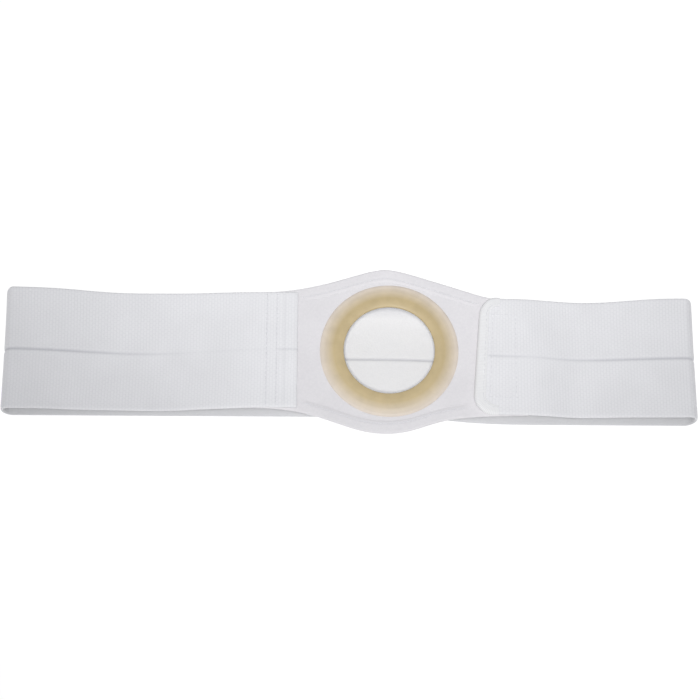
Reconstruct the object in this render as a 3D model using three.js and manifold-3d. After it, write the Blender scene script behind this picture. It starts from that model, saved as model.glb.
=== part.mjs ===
// Ostomy support belt, fastened into its loop and lying on its back with the round opening up.
// Millimetres. +X runs along the belt, +Y towards its upper edge when worn, +Z up.
// The origin is on the ground under the middle of the belt.

import * as THREE from 'three';
import { mergeVertices } from 'three/addons/utils/BufferGeometryUtils.js';
import Module from 'manifold-3d';

const wasm = await Module();
wasm.setup();

const { lerp, smoothstep } = THREE.MathUtils;

// Elastic: a three-inch woven band, grooved along its middle on both faces
const BAND_WIDTH = 76.2;
const BAND_THICKNESS = 2.0;
const GROOVE_WIDTH = 3.2;
const GROOVE_DEPTH = 0.5;
const SELVEDGE_WIDTH = 1.5;
const SELVEDGE_THICKNESS = 1.2;

// Room left between pieces that lie on each other
const GAP = 0.3;

// Panel: the flat cloth in front, which swells above and below the elastic round the opening
const PANEL_TOP = 19.8;
const PANEL_THICKNESS = 1.8;
const PANEL_EDGE_THICKNESS = 0.9;
const PANEL_LEFT = -58;
const PANEL_RIGHT = 112;
const PANEL_TAIL_WIDTH = 74.6;
const SWELL_X = 22.8;
const UPPER_SWELL = { rise: 17.1, reach: 41, power: 1.6 };
const LOWER_SWELL = { rise: 16.7, reach: 42.5, power: 2.1 };

// Hem: the panel's edge turned over, fading out before the elastic covers it at both ends
const HEM_WIDTH = 7;
const HEM_RISE = 0.6;
const HEM_STEP = 1;
const HEM_ROUND = 0.8;
const HEM_CLEAR = 2;
const HEM_FADE = 5;

// Ring: a two-and-a-quarter-inch opening with a thick bead and a thin flange
const RING_X = 25.2;
const OPENING_RADIUS = 28.6;
const BEAD_WIDTH = 8;
const BEAD_HEIGHT = 2.0;
const BEAD_FILLET = 2;
const BEAD_EASE = 0.2;
const FLANGE_RADIUS = 43.5;
const FLANGE_INNER_HEIGHT = 1.4;
const FLANGE_RIM_HEIGHT = 0.9;
const RING_OVERHANG = 1.4;
const PANEL_HOLE_RADIUS = OPENING_RADIUS + RING_OVERHANG;
const RING_SIDES = 72;

// Flap: the elastic's free end, bound with tape and held by a patch of hooks
const FLAP_END = 80.9;
const FLAP_CORNER = 12;
const TAPE_THICKNESS = 0.8;
const TAPE_COVER = 5.5;
const TAPE_BACK = 94;
const HOOK_THICKNESS = 1.2;
const HOOK_LEFT = 88.5;
const HOOK_RIGHT = 106;
const HOOK_WIDTH = 58;
const HOOK_CORNER = 4;

// Heights of the elastic's outer face over the panel, where it is sewn on and where the hooks hold it
const SEWN_TOP = PANEL_TOP + GAP + BAND_THICKNESS;
const FLAP_TOP = PANEL_TOP + GAP + HOOK_THICKNESS + GAP + BAND_THICKNESS;

// Crests and sags of the loop's front, at the elastic's outer face.
// The lifts are how far the elastic's upper and lower edges stand above its middle.
const FRONT_RIGHT = [
  { place: 'flap end', x: FLAP_END, z: FLAP_TOP, upperLift: 0, lowerLift: 0 },
  { place: 'end of the hooks', x: 107, z: FLAP_TOP, upperLift: 0, lowerLift: 0 },
  { place: 'right sag', x: 145, z: 16.8, upperLift: 1, lowerLift: 1.5 },
  { place: 'right fold', x: 211.9, z: 22.2, upperLift: 5, lowerLift: -1.2 },
];
const FRONT_LEFT = [
  { place: 'left fold', x: -211.3, z: 20, upperLift: 9, lowerLift: -2.2 },
  { place: 'left sag', x: -128, z: 10, upperLift: 7.5, lowerLift: 2.5 },
  { place: 'lap on the panel', x: -44.5, z: SEWN_TOP, upperLift: 0, lowerLift: 0 },
  { place: 'sewn end', x: -32.4, z: SEWN_TOP, upperLift: 0, lowerLift: 0 },
];
const SEWN_END = FRONT_LEFT.at(-1).x;
const LAP = FRONT_LEFT.at(-2).x;

// How far both folds reach past their crests
const FOLD_REACH = 6.3;

// The flap is fastened a little low, so the right end of the belt lies lower in Y than the left end
const SIDE_STEP = 2.3;
const SIDE_STEP_X = 69;
const SIDE_STEP_REACH = 22;

// Lengths of the facets along the belt, and the number of facets on each round stretch
const CURVED_STEP = 5;
const FLAT_STEP = 13;
const PANEL_STEP = 4.6;
const FOLD_FACETS = 14;
const CORNER_FACETS = 6;
const PLAN_ARC_FACETS = 8;
const SECTION_CURVE_FACETS = 4;

// How far the belt has bent at x, from -1 at its left end to 1 at its right end
function bendAt(x) {
  return Math.tanh((x - SIDE_STEP_X) / SIDE_STEP_REACH);
}

// Where a point of the straight belt lies on the ground plan, on lines square to the bent belt.
// The belt's middle line crosses y = 0 beside the ring.
function onPlan(x, y) {
  const bend = bendAt(x);
  const turn = (SIDE_STEP / SIDE_STEP_REACH) * (1 - bend * bend);
  return new THREE.Vector2(x + turn * y, y - SIDE_STEP * (bend - bendAt(RING_X)));
}

// Height, slope and edge lifts at x, eased from each crest or sag to the next
function frontAt(rows, x) {
  const next = Math.max(1, rows.findIndex((row) => row.x >= x));
  const a = rows[next - 1];
  const b = rows[next];
  const span = b.x - a.x;
  const t = (x - a.x) / span;
  const blend = t * t * (3 - 2 * t);
  return {
    z: lerp(a.z, b.z, blend),
    slope: ((b.z - a.z) * 6 * t * (1 - t)) / span,
    upperLift: lerp(a.upperLift, b.upperLift, blend),
    lowerLift: lerp(a.lowerLift, b.lowerLift, blend),
  };
}

// Evenly spaced numbers from a to b, with steps no longer than the one given
function spaced(a, b, step) {
  const count = Math.ceil(Math.abs(b - a) / step);
  return Array.from({ length: count + 1 }, (_, i) => lerp(a, b, i / count));
}

// A station is a place on the middle of a wall, with the wall's outward direction in the XZ plane
// and the distances from the middle line to the wall's upper and lower edges
function frontStation(rows, x, edge = BAND_WIDTH / 2, groove = 1) {
  const { slope, ...front } = frontAt(rows, x);
  const length = Math.hypot(1, slope);
  const z = front.z - BAND_THICKNESS / 2;
  return { ...front, x, z, nx: -slope / length, nz: 1 / length, upper: edge, lower: edge, groove };
}

// Stations round a fold from one angle to another, on a half ellipse between the crest and the ground
function foldStations(crest, fromAngle, toAngle) {
  const a = FOLD_REACH - BAND_THICKNESS / 2;
  const b = (crest.z - BAND_THICKNESS) / 2;
  return spaced(0, 1, 1 / FOLD_FACETS).map((t) => {
    const angle = lerp(fromAngle, toAngle, t);
    const out = new THREE.Vector2(Math.cos(angle) / a, Math.sin(angle) / b).normalize();
    const rise = (1 + Math.sin(angle)) / 2;
    return {
      x: crest.x + a * Math.cos(angle),
      z: crest.z / 2 + b * Math.sin(angle),
      nx: out.x,
      nz: out.y,
      upperLift: crest.upperLift * rise * rise,
      lowerLift: crest.lowerLift * rise * rise,
      upper: BAND_WIDTH / 2,
      lower: BAND_WIDTH / 2,
      groove: 1,
    };
  });
}

// The loop from the flap's end round the right fold, along the ground, and round to the sewn end
function bandStations() {
  const rightCrest = FRONT_RIGHT.at(-1);
  const leftCrest = FRONT_LEFT[0];
  const corner = spaced(0, Math.PI / 2, Math.PI / 2 / CORNER_FACETS).map((angle) => {
    const x = FLAP_END + FLAP_CORNER * (1 - Math.cos(angle));
    const edge = BAND_WIDTH / 2 - FLAP_CORNER * (1 - Math.sin(angle));
    const groove = smoothstep(x, FLAP_END + TAPE_COVER, FLAP_END + FLAP_CORNER);
    return frontStation(FRONT_RIGHT, x, edge, groove);
  });
  const frontRight = spaced(FLAP_END + FLAP_CORNER, rightCrest.x, CURVED_STEP)
    .map((x) => frontStation(FRONT_RIGHT, x));
  const rightFold = foldStations(rightCrest, Math.PI / 2, -Math.PI / 2);
  const ground = spaced(rightCrest.x, leftCrest.x, FLAT_STEP).map((x) => ({
    x,
    z: BAND_THICKNESS / 2,
    nx: 0,
    nz: -1,
    upperLift: 0,
    lowerLift: 0,
    upper: BAND_WIDTH / 2,
    lower: BAND_WIDTH / 2,
    groove: 1,
  }));
  const leftFold = foldStations(leftCrest, 1.5 * Math.PI, Math.PI / 2);
  const frontLeft = spaced(leftCrest.x, SEWN_END, CURVED_STEP)
    .map((x) => frontStation(FRONT_LEFT, x));
  return [
    ...corner,
    ...frontRight.slice(1, -1),
    ...rightFold,
    ...ground.slice(1, -1),
    ...leftFold,
    ...frontLeft.slice(1),
  ];
}

// Lines across a wall from one edge to the other, from a table of its half
function bothHalves(halfLines) {
  const lower = halfLines.slice(1).reverse().map((line) => ({ ...line, side: -1 }));
  const upper = halfLines.map((line) => ({ ...line, side: 1 }));
  return [...lower, ...upper];
}

// How far the elastic stands above its middle line, by its tilt and curl, at a share of its half width
function liftAt({ upperLift, lowerLift }, share) {
  const tilt = (upperLift - lowerLift) / 2;
  const curl = (upperLift + lowerLift) / 2;
  return tilt * share + curl * share * share;
}

// A wall swept through stations, with a line of points across it at each one. The face function gives
// how far a line's top or bottom point stands out from the middle of the wall, and how far it is lifted.
function sweptWall(stations, lines, face) {
  const geometry = new THREE.BoxGeometry(1, 1, 1, stations.length - 1, lines.length - 1, 1);
  const position = geometry.attributes.position;
  for (let i = 0; i < position.count; i += 1) {
    const station = stations[Math.round((position.getX(i) + 0.5) * (stations.length - 1))];
    const line = lines[Math.round((position.getY(i) + 0.5) * (lines.length - 1))];
    const edge = line.side > 0 ? station.upper : station.lower;
    const across = line.fromEdge === undefined ? line.fromMiddle : edge - line.fromEdge;
    const { out, lift } = face(station, line, across, Math.sign(position.getZ(i)));
    const plan = onPlan(station.x + station.nx * out, line.side * across);
    position.setXYZ(i, plan.x, plan.y, station.z + station.nz * out + lift);
  }
  return closed(geometry);
}

// The same surface with only positions, and its shared vertices merged
function closed(geometry) {
  geometry.deleteAttribute('normal');
  geometry.deleteAttribute('uv');
  return mergeVertices(geometry);
}

function toSolid(geometry) {
  return new wasm.Manifold(new wasm.Mesh({
    numProp: 3,
    vertProperties: Float32Array.from(geometry.attributes.position.array),
    triVerts: Uint32Array.from(geometry.index.array),
  }));
}

function toGeometry(solid) {
  const mesh = solid.getMesh();
  const geometry = new THREE.BufferGeometry();
  geometry.setAttribute('position', new THREE.BufferAttribute(mesh.vertProperties, 3));
  geometry.setIndex(new THREE.BufferAttribute(mesh.triVerts, 1));
  return geometry;
}

// A flat slab of a plan shape, from one height to another
function slab(shape, low, high) {
  const options = { depth: high - low, bevelEnabled: false, curveSegments: PLAN_ARC_FACETS };
  return closed(new THREE.ExtrudeGeometry(shape, options).translate(0, 0, low));
}

// Moves a piece that was drawn straight to where the belt lies
function laidOnBelt(geometry) {
  const position = geometry.attributes.position;
  for (let i = 0; i < position.count; i += 1) {
    const plan = onPlan(position.getX(i), position.getY(i));
    position.setXY(i, plan.x, plan.y);
  }
  return geometry;
}

function elasticBand() {
  const lines = bothHalves([
    { line: 'groove', fromMiddle: 0, thickness: BAND_THICKNESS, groove: GROOVE_DEPTH },
    { line: 'groove side', fromMiddle: GROOVE_WIDTH / 2, thickness: BAND_THICKNESS, groove: 0 },
    { line: 'middle of a half', fromMiddle: BAND_WIDTH / 4, thickness: BAND_THICKNESS, groove: 0 },
    { line: 'selvedge side', fromEdge: SELVEDGE_WIDTH, thickness: BAND_THICKNESS, groove: 0 },
    { line: 'selvedge', fromEdge: 0, thickness: SELVEDGE_THICKNESS, groove: 0 },
  ]);
  return sweptWall(bandStations(), lines, (station, line, across, side) => ({
    out: side * (line.thickness / 2 - line.groove * station.groove),
    lift: liftAt(station, (line.side * across) / (BAND_WIDTH / 2)),
  }));
}

// Distance from the panel's middle line to an edge that swells round the opening
function panelEdge(x, { rise, reach, power }) {
  return PANEL_TAIL_WIDTH / 2 + rise * Math.exp(-((Math.abs(x - SWELL_X) / reach) ** power));
}

// The panel's middle: flat, but following the elastic down where it is sewn under it
function panelStation(x) {
  const fromEnds = Math.min(x - SEWN_END, FLAP_END - x);
  const shape = {
    upper: panelEdge(x, UPPER_SWELL),
    lower: panelEdge(x, LOWER_SWELL),
    hem: smoothstep(fromEnds, HEM_CLEAR, HEM_CLEAR + HEM_FADE),
  };
  if (x >= LAP) {
    return { x, z: PANEL_TOP - PANEL_THICKNESS / 2, nx: 0, nz: 1, ...shape };
  }
  const over = frontStation(FRONT_LEFT, x);
  const drop = BAND_THICKNESS / 2 + GAP + PANEL_THICKNESS / 2;
  return { ...over, x: x - over.nx * drop, z: over.z - over.nz * drop, ...shape };
}

function frontPanel() {
  const lines = bothHalves([
    { line: 'middle', fromMiddle: 0, thickness: PANEL_THICKNESS, rise: 0 },
    { line: 'middle of a half', fromMiddle: PANEL_TAIL_WIDTH / 4, thickness: PANEL_THICKNESS, rise: 0 },
    { line: 'inside the hem', fromEdge: HEM_WIDTH + HEM_STEP, thickness: PANEL_THICKNESS, rise: 0 },
    { line: 'hem', fromEdge: HEM_WIDTH, thickness: PANEL_THICKNESS, rise: HEM_RISE },
    { line: 'hem round', fromEdge: HEM_ROUND, thickness: PANEL_THICKNESS, rise: HEM_RISE },
    { line: 'edge', fromEdge: 0, thickness: PANEL_EDGE_THICKNESS, rise: 0 },
  ]);
  const stations = spaced(PANEL_LEFT, PANEL_RIGHT, PANEL_STEP).map(panelStation);
  const cloth = sweptWall(stations, lines, (station, line, across, side) => ({
    out: (side * line.thickness) / 2 + (side > 0 ? line.rise * station.hem : 0),
    lift: 0,
  }));
  const depth = 3 * PANEL_THICKNESS;
  const punch = new THREE.CylinderGeometry(PANEL_HOLE_RADIUS, PANEL_HOLE_RADIUS, depth, RING_SIDES);
  punch.rotateX(Math.PI / 2).translate(RING_X, 0, PANEL_TOP);
  return toGeometry(toSolid(cloth).subtract(toSolid(closed(punch))));
}

// The ring's section: flat below, a round bead at the opening and a flange that thins to its rim
function supportRing() {
  const beadMiddle = OPENING_RADIUS + BEAD_WIDTH / 2;
  const flangeStart = OPENING_RADIUS + BEAD_WIDTH + BEAD_FILLET;
  const ease = BEAD_EASE * (flangeStart - beadMiddle);
  const wall = BEAD_HEIGHT / 2;
  const section = new THREE.Path();
  section.moveTo(OPENING_RADIUS, 0);
  section.lineTo(FLANGE_RADIUS, 0);
  section.lineTo(FLANGE_RADIUS, FLANGE_RIM_HEIGHT / 2);
  section.lineTo(FLANGE_RADIUS - FLANGE_RIM_HEIGHT / 2, FLANGE_RIM_HEIGHT);
  section.lineTo(flangeStart, FLANGE_INNER_HEIGHT);
  section.quadraticCurveTo(
    flangeStart - ease,
    FLANGE_INNER_HEIGHT,
    (flangeStart + beadMiddle) / 2,
    (FLANGE_INNER_HEIGHT + BEAD_HEIGHT) / 2,
  );
  section.quadraticCurveTo(beadMiddle + ease, BEAD_HEIGHT, beadMiddle, BEAD_HEIGHT);
  section.absellipse(beadMiddle, wall, BEAD_WIDTH / 2, wall, Math.PI / 2, Math.PI, false);
  section.lineTo(OPENING_RADIUS, 0);
  const lathe = new THREE.LatheGeometry(section.getPoints(SECTION_CURVE_FACETS), RING_SIDES);
  return closed(lathe.rotateX(Math.PI / 2));
}

// Plan of the flap's rounded end, grown outwards by a distance, back to a given x
function flapEnd(out, back) {
  const radius = FLAP_CORNER + out;
  const end = FLAP_END - out;
  const side = BAND_WIDTH / 2 + out;
  const shape = new THREE.Shape();
  shape.moveTo(back, -side);
  shape.absarc(end + radius, radius - side, radius, -Math.PI / 2, -Math.PI, true);
  shape.absarc(end + radius, side - radius, radius, Math.PI, Math.PI / 2, true);
  shape.lineTo(back, side);
  return shape;
}

// Tape folded over the flap's end: an outer slab, less the elastic's room and all beyond the tape's cover
function flapBinding() {
  const middle = FLAP_TOP - BAND_THICKNESS / 2;
  const room = BAND_THICKNESS / 2 + GAP;
  const outside = room + TAPE_THICKNESS;
  const pastBack = TAPE_BACK + TAPE_COVER;
  const tape = toSolid(slab(flapEnd(GAP + TAPE_THICKNESS, TAPE_BACK), middle - outside, middle + outside));
  const elastic = toSolid(slab(flapEnd(GAP, pastBack), middle - room, middle + room));
  const bare = toSolid(slab(flapEnd(-TAPE_COVER, pastBack), middle - 2 * outside, middle + 2 * outside));
  return laidOnBelt(toGeometry(tape.subtract(elastic).subtract(bare)));
}

function hookPatch() {
  const side = HOOK_WIDTH / 2 - HOOK_CORNER;
  const left = HOOK_LEFT + HOOK_CORNER;
  const right = HOOK_RIGHT - HOOK_CORNER;
  const shape = new THREE.Shape();
  shape.absarc(right, side, HOOK_CORNER, 0, Math.PI / 2);
  shape.absarc(left, side, HOOK_CORNER, Math.PI / 2, Math.PI);
  shape.absarc(left, -side, HOOK_CORNER, Math.PI, 1.5 * Math.PI);
  shape.absarc(right, -side, HOOK_CORNER, 1.5 * Math.PI, 2 * Math.PI);
  const low = PANEL_TOP + GAP;
  return laidOnBelt(slab(shape, low, low + HOOK_THICKNESS));
}

// The pieces, each with its own finish
function piece(name, geometry, colour, roughness) {
  geometry.computeVertexNormals();
  const material = new THREE.MeshStandardMaterial({ color: colour, roughness, metalness: 0 });
  const mesh = new THREE.Mesh(geometry, material);
  mesh.name = name;
  return mesh;
}

const ring = piece('support_ring', supportRing(), '#c8ab77', 0.45);
ring.position.set(RING_X, 0, PANEL_TOP + GAP);

const belt = new THREE.Group();
belt.add(
  piece('elastic_band', elasticBand(), '#e4e4e2', 0.9),
  piece('front_panel', frontPanel(), '#e9e9e7', 0.95),
  ring,
  piece('flap_binding', flapBinding(), '#efefed', 0.85),
  piece('hook_patch', hookPatch(), '#dededc', 0.9),
);

export default belt;
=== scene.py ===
"""Dresses an ostomy support belt: woven elastic, brushed panel, rubber ring, tape, hooks and stitches."""

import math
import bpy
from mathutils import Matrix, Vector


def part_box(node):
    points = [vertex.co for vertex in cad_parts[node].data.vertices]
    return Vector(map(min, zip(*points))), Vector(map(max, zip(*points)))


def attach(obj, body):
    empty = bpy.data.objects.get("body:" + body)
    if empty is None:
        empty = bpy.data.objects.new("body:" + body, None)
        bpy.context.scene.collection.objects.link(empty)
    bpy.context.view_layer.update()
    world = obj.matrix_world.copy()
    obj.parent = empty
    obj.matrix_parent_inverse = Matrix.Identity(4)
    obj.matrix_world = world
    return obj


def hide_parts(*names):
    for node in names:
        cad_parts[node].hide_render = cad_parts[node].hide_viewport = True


bl_info = {
    "name": "Ostomy support belt",
    "version": (1, 0, 0),
    "blender": (4, 5, 0),
    "location": "View3D > Sidebar > Belt",
    "description": "Builds a fastened support belt that lies on its back, with its floor, light and camera",
    "category": "Add Mesh",
}

import bmesh
import bpy
import numpy as np
from bpy.props import FloatProperty, FloatVectorProperty, PointerProperty
from mathutils import Quaternion, Vector

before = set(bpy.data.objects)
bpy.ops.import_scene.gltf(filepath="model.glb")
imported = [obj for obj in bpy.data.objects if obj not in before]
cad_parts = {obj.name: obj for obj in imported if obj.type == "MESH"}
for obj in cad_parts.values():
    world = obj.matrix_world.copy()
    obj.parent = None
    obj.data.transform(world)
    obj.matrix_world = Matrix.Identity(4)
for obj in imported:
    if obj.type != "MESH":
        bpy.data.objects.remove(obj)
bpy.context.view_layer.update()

MM = 0.001

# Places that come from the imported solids
RING_LOW, RING_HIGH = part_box("support_ring")
RING_CENTRE = (RING_LOW + RING_HIGH) / 2
HOOK_LOW, HOOK_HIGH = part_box("hook_patch")

# Room left between pieces that lie on each other
GAP = 0.3 * MM

# The loop's front: crests and sags of the elastic's outer face, in millimetres.
# The lifts are how far the elastic's upper and lower edges stand above its middle.
FRONT_RIGHT = (
    {"place": "flap end", "x": 80.9, "z": 23.6, "upper_lift": 0, "lower_lift": 0},
    {"place": "end of the hooks", "x": 107, "z": 23.6, "upper_lift": 0, "lower_lift": 0},
    {"place": "right sag", "x": 145, "z": 16.8, "upper_lift": 1, "lower_lift": 1.5},
    {"place": "right fold", "x": 211.9, "z": 22.2, "upper_lift": 5, "lower_lift": -1.2},
)
FRONT_LEFT = (
    {"place": "left fold", "x": -211.3, "z": 20, "upper_lift": 9, "lower_lift": -2.2},
    {"place": "left sag", "x": -128, "z": 10, "upper_lift": 7.5, "lower_lift": 2.5},
    {"place": "lap on the panel", "x": -44.5, "z": 22.1, "upper_lift": 0, "lower_lift": 0},
    {"place": "sewn end", "x": -32.4, "z": 22.1, "upper_lift": 0, "lower_lift": 0},
)
FOLD_REACH = 6.3 * MM
FLAP_END = FRONT_RIGHT[0]["x"] * MM
LAP = FRONT_LEFT[2]["x"] * MM
SEWN_END = FRONT_LEFT[3]["x"] * MM

# The elastic's groove: how deep it is along the front, and how much painted shade it gets, where sewing and
# hooks pull it flat
GROOVE_RIGHT = (
    {"place": "under the tape", "x": 85.5, "share": 0.0},
    {"place": "past the tape", "x": 89, "share": 0.55},
    {"place": "over the hooks", "x": 104, "share": 0.45},
    {"place": "end of the hooks", "x": 113, "share": 0.2},
    {"place": "right sag", "x": 145, "share": 0.55},
    {"place": "free elastic", "x": 180, "share": 1.0},
)
GROOVE_LEFT = (
    {"place": "free elastic", "x": -180, "share": 1.0},
    {"place": "left sag", "x": -135, "share": 0.5},
    {"place": "before the seam", "x": -100, "share": 0.1},
    {"place": "at the seam", "x": -56, "share": 0.1},
    {"place": "between the seam's rows", "x": -47, "share": 0.0},
    {"place": "past the seam", "x": -43, "share": 0.4},
    {"place": "sewn end", "x": -32.4, "share": 0.4},
)

# The flap is fastened a little low, so the right end of the belt lies lower in Y than the left end
BEND_STEP = 2.3 * MM
BEND_X = 69 * MM
BEND_REACH = 22 * MM

# Panel outline: flat tails, with edges that swell round the opening
PANEL_LEFT = -58 * MM
PANEL_RIGHT = 112 * MM
PANEL_TAIL_WIDTH = 74.6 * MM
SWELL_X = 22.8 * MM
UPPER_SWELL = {"rise": 17.1 * MM, "reach": 41 * MM, "power": 1.6}
LOWER_SWELL = {"rise": 16.7 * MM, "reach": 42.5 * MM, "power": 2.1}
PANEL_EDGE_ROUND = 1.2 * MM
PANEL_EDGE_SHARE = 0.4
HEM_CLEAR = 2 * MM
HEM_FADE = 5 * MM
HEM_DENT = 0.2 * MM
HEM_PUCKER = 0.05 * MM
HEM_STITCH_INSET = 0.9 * MM
RING_OVERHANG = 1.4 * MM

# The elastic's wall: the share of its thickness left at selvedges and ends, and a slow ripple in between
SELVEDGE_ROUND = 1.5 * MM
SELVEDGE_SHARE = 0.3
END_SHARE = 0.5
RIPPLE_HEIGHT = 0.35 * MM
RIPPLE_LENGTH = 58 * MM
RIPPLE_TWIST = 2.2
RINGS_PER_RIB = 4

# Seam rows that hold the elastic on the panel, and the turned-under end beside them
SEAM_ROWS = (-51.8 * MM, -45.4 * MM, -40.5 * MM)
SEAM_WIDTH = 1.6 * MM
SEAM_DENT = 0.1 * MM
TURNED_END = 8.1 * MM
TURNED_RISE = 0.4 * MM
LAP_INSET = 2.5 * MM

# The tape round the flap's end, pressed thin towards its own two ends
TAPE_BACK = 94 * MM
TAPE_END_SHARE = 0.25
TAPE_END_TAPER = 8 * MM
TAPE_STITCH_INSET = 1.4 * MM
TAPE_FOLD = 1.0 * MM
TAPE_LEAF = 1.2 * MM

# Hooks and stitches. The hooks are drawn coarser than a real field, where they stand 1 mm apart.
HOOK_CORNER = 4 * MM
HOOK_LENGTH = 0.5 * MM
HOOK_WIRE = 0.1 * MM
HOOK_PITCH = 1.5 * MM
HOOK_SEAM = 2 * MM
STITCH_STEP = 0.1 * MM
STITCH_SINK = 0.1 * MM

# Painted shade: how dark the cloth is painted where it is pulled down in the groove, the seam rows and the
# hem's row, and on its inner selvedges
GROOVE_SHADE = 0.45
SEAM_ROW_SHADE = 0.07
HEM_ROW_SHADE = 0.12
SELVEDGE_SHADE = 0.3

# The studio, in metres
FLOOR_REACH = 12
FLOOR_DROP = 0.2 * MM
SOFTBOX_SIZE = (0.25, 0.4)
SOFTBOX_PLACE = (-0.05, -0.6, 1.91)
SOFTBOX_AIM = (0.04, 0.13, 0)
SOFTBOX_SPREAD = math.radians(28)

CLOTH_MAP = "cloth_mm"
SEAM_SHADE = "seam_shade"
WAVE_PERIOD = math.pi / 10  # period of the wave texture's bands at scale 1


def linear(hex_colour):
    """Linear RGBA of an sRGB hex colour."""
    channels = [int(hex_colour[i:i + 2], 16) / 255 for i in (1, 3, 5)]
    return [c / 12.92 if c <= 0.04045 else ((c + 0.055) / 1.055) ** 2.4 for c in channels] + [1.0]


def size(name, description, millimetres):
    """A length that a user may change, with its default in millimetres."""
    return FloatProperty(
        name=name, description=description, default=millimetres * MM, min=0, unit="LENGTH", precision=5
    )


def tint(name, description, hex_colour):
    """A colour that a user may change, with its default as sRGB hex."""
    return FloatVectorProperty(
        name=name, description=description, default=linear(hex_colour),
        size=4, min=0, max=1, subtype="COLOR",
    )


def view_angle(name, description, degrees):
    """An angle that a user may change, with its default in degrees."""
    return FloatProperty(name=name, description=description, default=math.radians(degrees), subtype="ANGLE")


class BeltSizes(bpy.types.PropertyGroup):
    """Sizes of the belt's cloth, rubber and thread."""

    band_width: size("Elastic width", "Width of the woven elastic", 76.2)
    band_thickness: size("Elastic thickness", "Thickness of the woven elastic", 2.0)
    groove_depth: size("Groove depth", "Depth of the groove along the elastic's middle", 0.6)
    groove_width: size("Groove width", "Width of that groove", 3.2)
    rib_pitch: size("Rib pitch", "Spacing of the ribs that cross the elastic", 1.9)
    rib_height: size("Rib height", "Height of the ribs that cross the elastic", 0.12)
    float_length: size("Weft float", "Length of a weft float between two rubber cords", 2.6)
    panel_thickness: size("Panel thickness", "Thickness of the brushed cloth", 1.8)
    hem_width: size("Hem width", "Width of the panel's turned hem", 7)
    hem_rise: size("Hem rise", "How far the turned hem stands above the panel", 0.6)
    opening_radius: size("Opening radius", "Radius of the opening through the ring", 28.6)
    bead_width: size("Bead width", "Width of the ring's thick inner bead", 8)
    bead_height: size("Bead height", "Height of the ring's thick inner bead", 2.0)
    flap_corner: size("Flap corner", "Radius of the flap's corners", 12)
    tape_cover: size("Tape cover", "How far the tape covers the flap from its edge", 5.5)
    tape_thickness: size("Tape thickness", "Thickness of the tape round the flap", 0.8)
    stitch_pitch: size("Stitch pitch", "Spacing of the stitches", 3.2)
    thread_width: size("Thread width", "Thickness of the sewing thread", 0.4)


class BeltColours(bpy.types.PropertyGroup):
    """Colours of the belt's materials."""

    elastic: tint("Elastic", "Woven face of the elastic", "#ebebed")
    # painted shade: the colour of the low gaps between the elastic's floats
    elastic_gap: tint("Elastic gaps", "Between the elastic's threads", "#c4c5ca")
    plush: tint("Plush back", "Soft inner side of the elastic", "#e8e8e8")
    panel: tint("Panel", "Brushed cloth of the panel", "#e6e4e6")
    # painted shade: the colour that grooves, seam rows, the hem's row, inner selvedges and the low places
    # of every weave are darkened towards
    seam: tint("Seams", "Cloth pulled down in a seam or a groove", "#a3a4ac")
    tape: tint("Tape", "Tape round the flap's end", "#efefef")
    thread: tint("Thread", "Sewing thread", "#eaeaec")
    hooks: tint("Hooks", "Hook fastener", "#e4e4e2")
    bead: tint("Rubber bead", "Thick rubber at the opening", "#c5b289")
    flange: tint("Rubber flange", "Thin rubber at the ring's rim", "#e1d6ca")


class StageSettings(bpy.types.PropertyGroup):
    """Camera, light and floor."""

    lens: FloatProperty(
        name="Lens", description="Focal length in millimetres", default=85, min=1, subtype="DISTANCE_CAMERA"
    )
    azimuth: view_angle("Azimuth", "Camera's turn round the belt", -1.77)
    elevation: view_angle("Elevation", "Camera's height angle", 71.25)
    roll: view_angle("Roll", "Camera's turn about its view", 2.02)
    distance: FloatProperty(
        name="Distance", description="Camera's distance from its target", default=1.0587, unit="LENGTH"
    )
    target: FloatVectorProperty(
        name="Target", description="Point on the floor in the picture's middle",
        default=(0.0008, 0.00692, 0), subtype="TRANSLATION"
    )
    key_power: FloatProperty(
        name="Key power", description="Power of the softbox beyond the camera", default=0.83, unit="POWER"
    )
    sky: FloatProperty(name="Sky", description="Strength of the light from all round", default=0.34, min=0)
    floor_glow: FloatProperty(
        name="Floor glow", description="Light given by the pale floor", default=0.92, min=0
    )


def eased(x, low, high):
    """0 at low, 1 at high, with a smooth start and end."""
    t = np.clip((x - low) / (high - low), 0, 1)
    return t * t * (3 - 2 * t)


def dip(x, middle, width):
    """A smooth hump of height 1 about a middle."""
    return np.exp(-((x - middle) / (width / 2)) ** 2)


def between(x, rise, fall):
    """1 between two ramps, each given by its start and end, and 0 outside them."""
    return eased(x, *rise) * (1 - eased(x, *fall))


def rounded(inside, radius):
    """Share of full height at a distance inside a rounded edge."""
    return np.sqrt(1 - (1 - np.clip(inside / radius, 0, 1)) ** 2)


def joined(*columns):
    """Columns brought to one shape, side by side in a last axis."""
    return np.stack(np.broadcast_arrays(*columns), axis=-1)


def walk(points):
    """Length along a row of points, from 0 at its first."""
    return np.concatenate([[0], np.cumsum(np.linalg.norm(np.diff(points, axis=0), axis=1))])


def crest_values(rows, x):
    """Height and edge lifts in metres at x, eased from each crest or sag to the next."""
    places = np.array([row["x"] for row in rows]) * MM
    values = np.array([[row["z"], row["upper_lift"], row["lower_lift"]] for row in rows]) * MM
    i = np.clip(np.searchsorted(places, x) - 1, 0, len(rows) - 2)
    blend = eased(x, places[i], places[i + 1])[:, None]
    return values[i] + (values[i + 1] - values[i]) * blend


def bend_at(x):
    """How far the belt has bent at x, from -1 at its left end to 1 at its right end."""
    return np.tanh((x - BEND_X) / BEND_REACH)


def laid(x, y, z):
    """Points of the straight belt, moved to where the bent belt lies, with y = 0 beside the ring."""
    bend = bend_at(x)
    turn = BEND_STEP / BEND_REACH * (1 - bend ** 2)
    sideways = BEND_STEP * (bend - bend_at(RING_CENTRE.x))
    return joined(x + turn * y, y - sideways, z)


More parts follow.
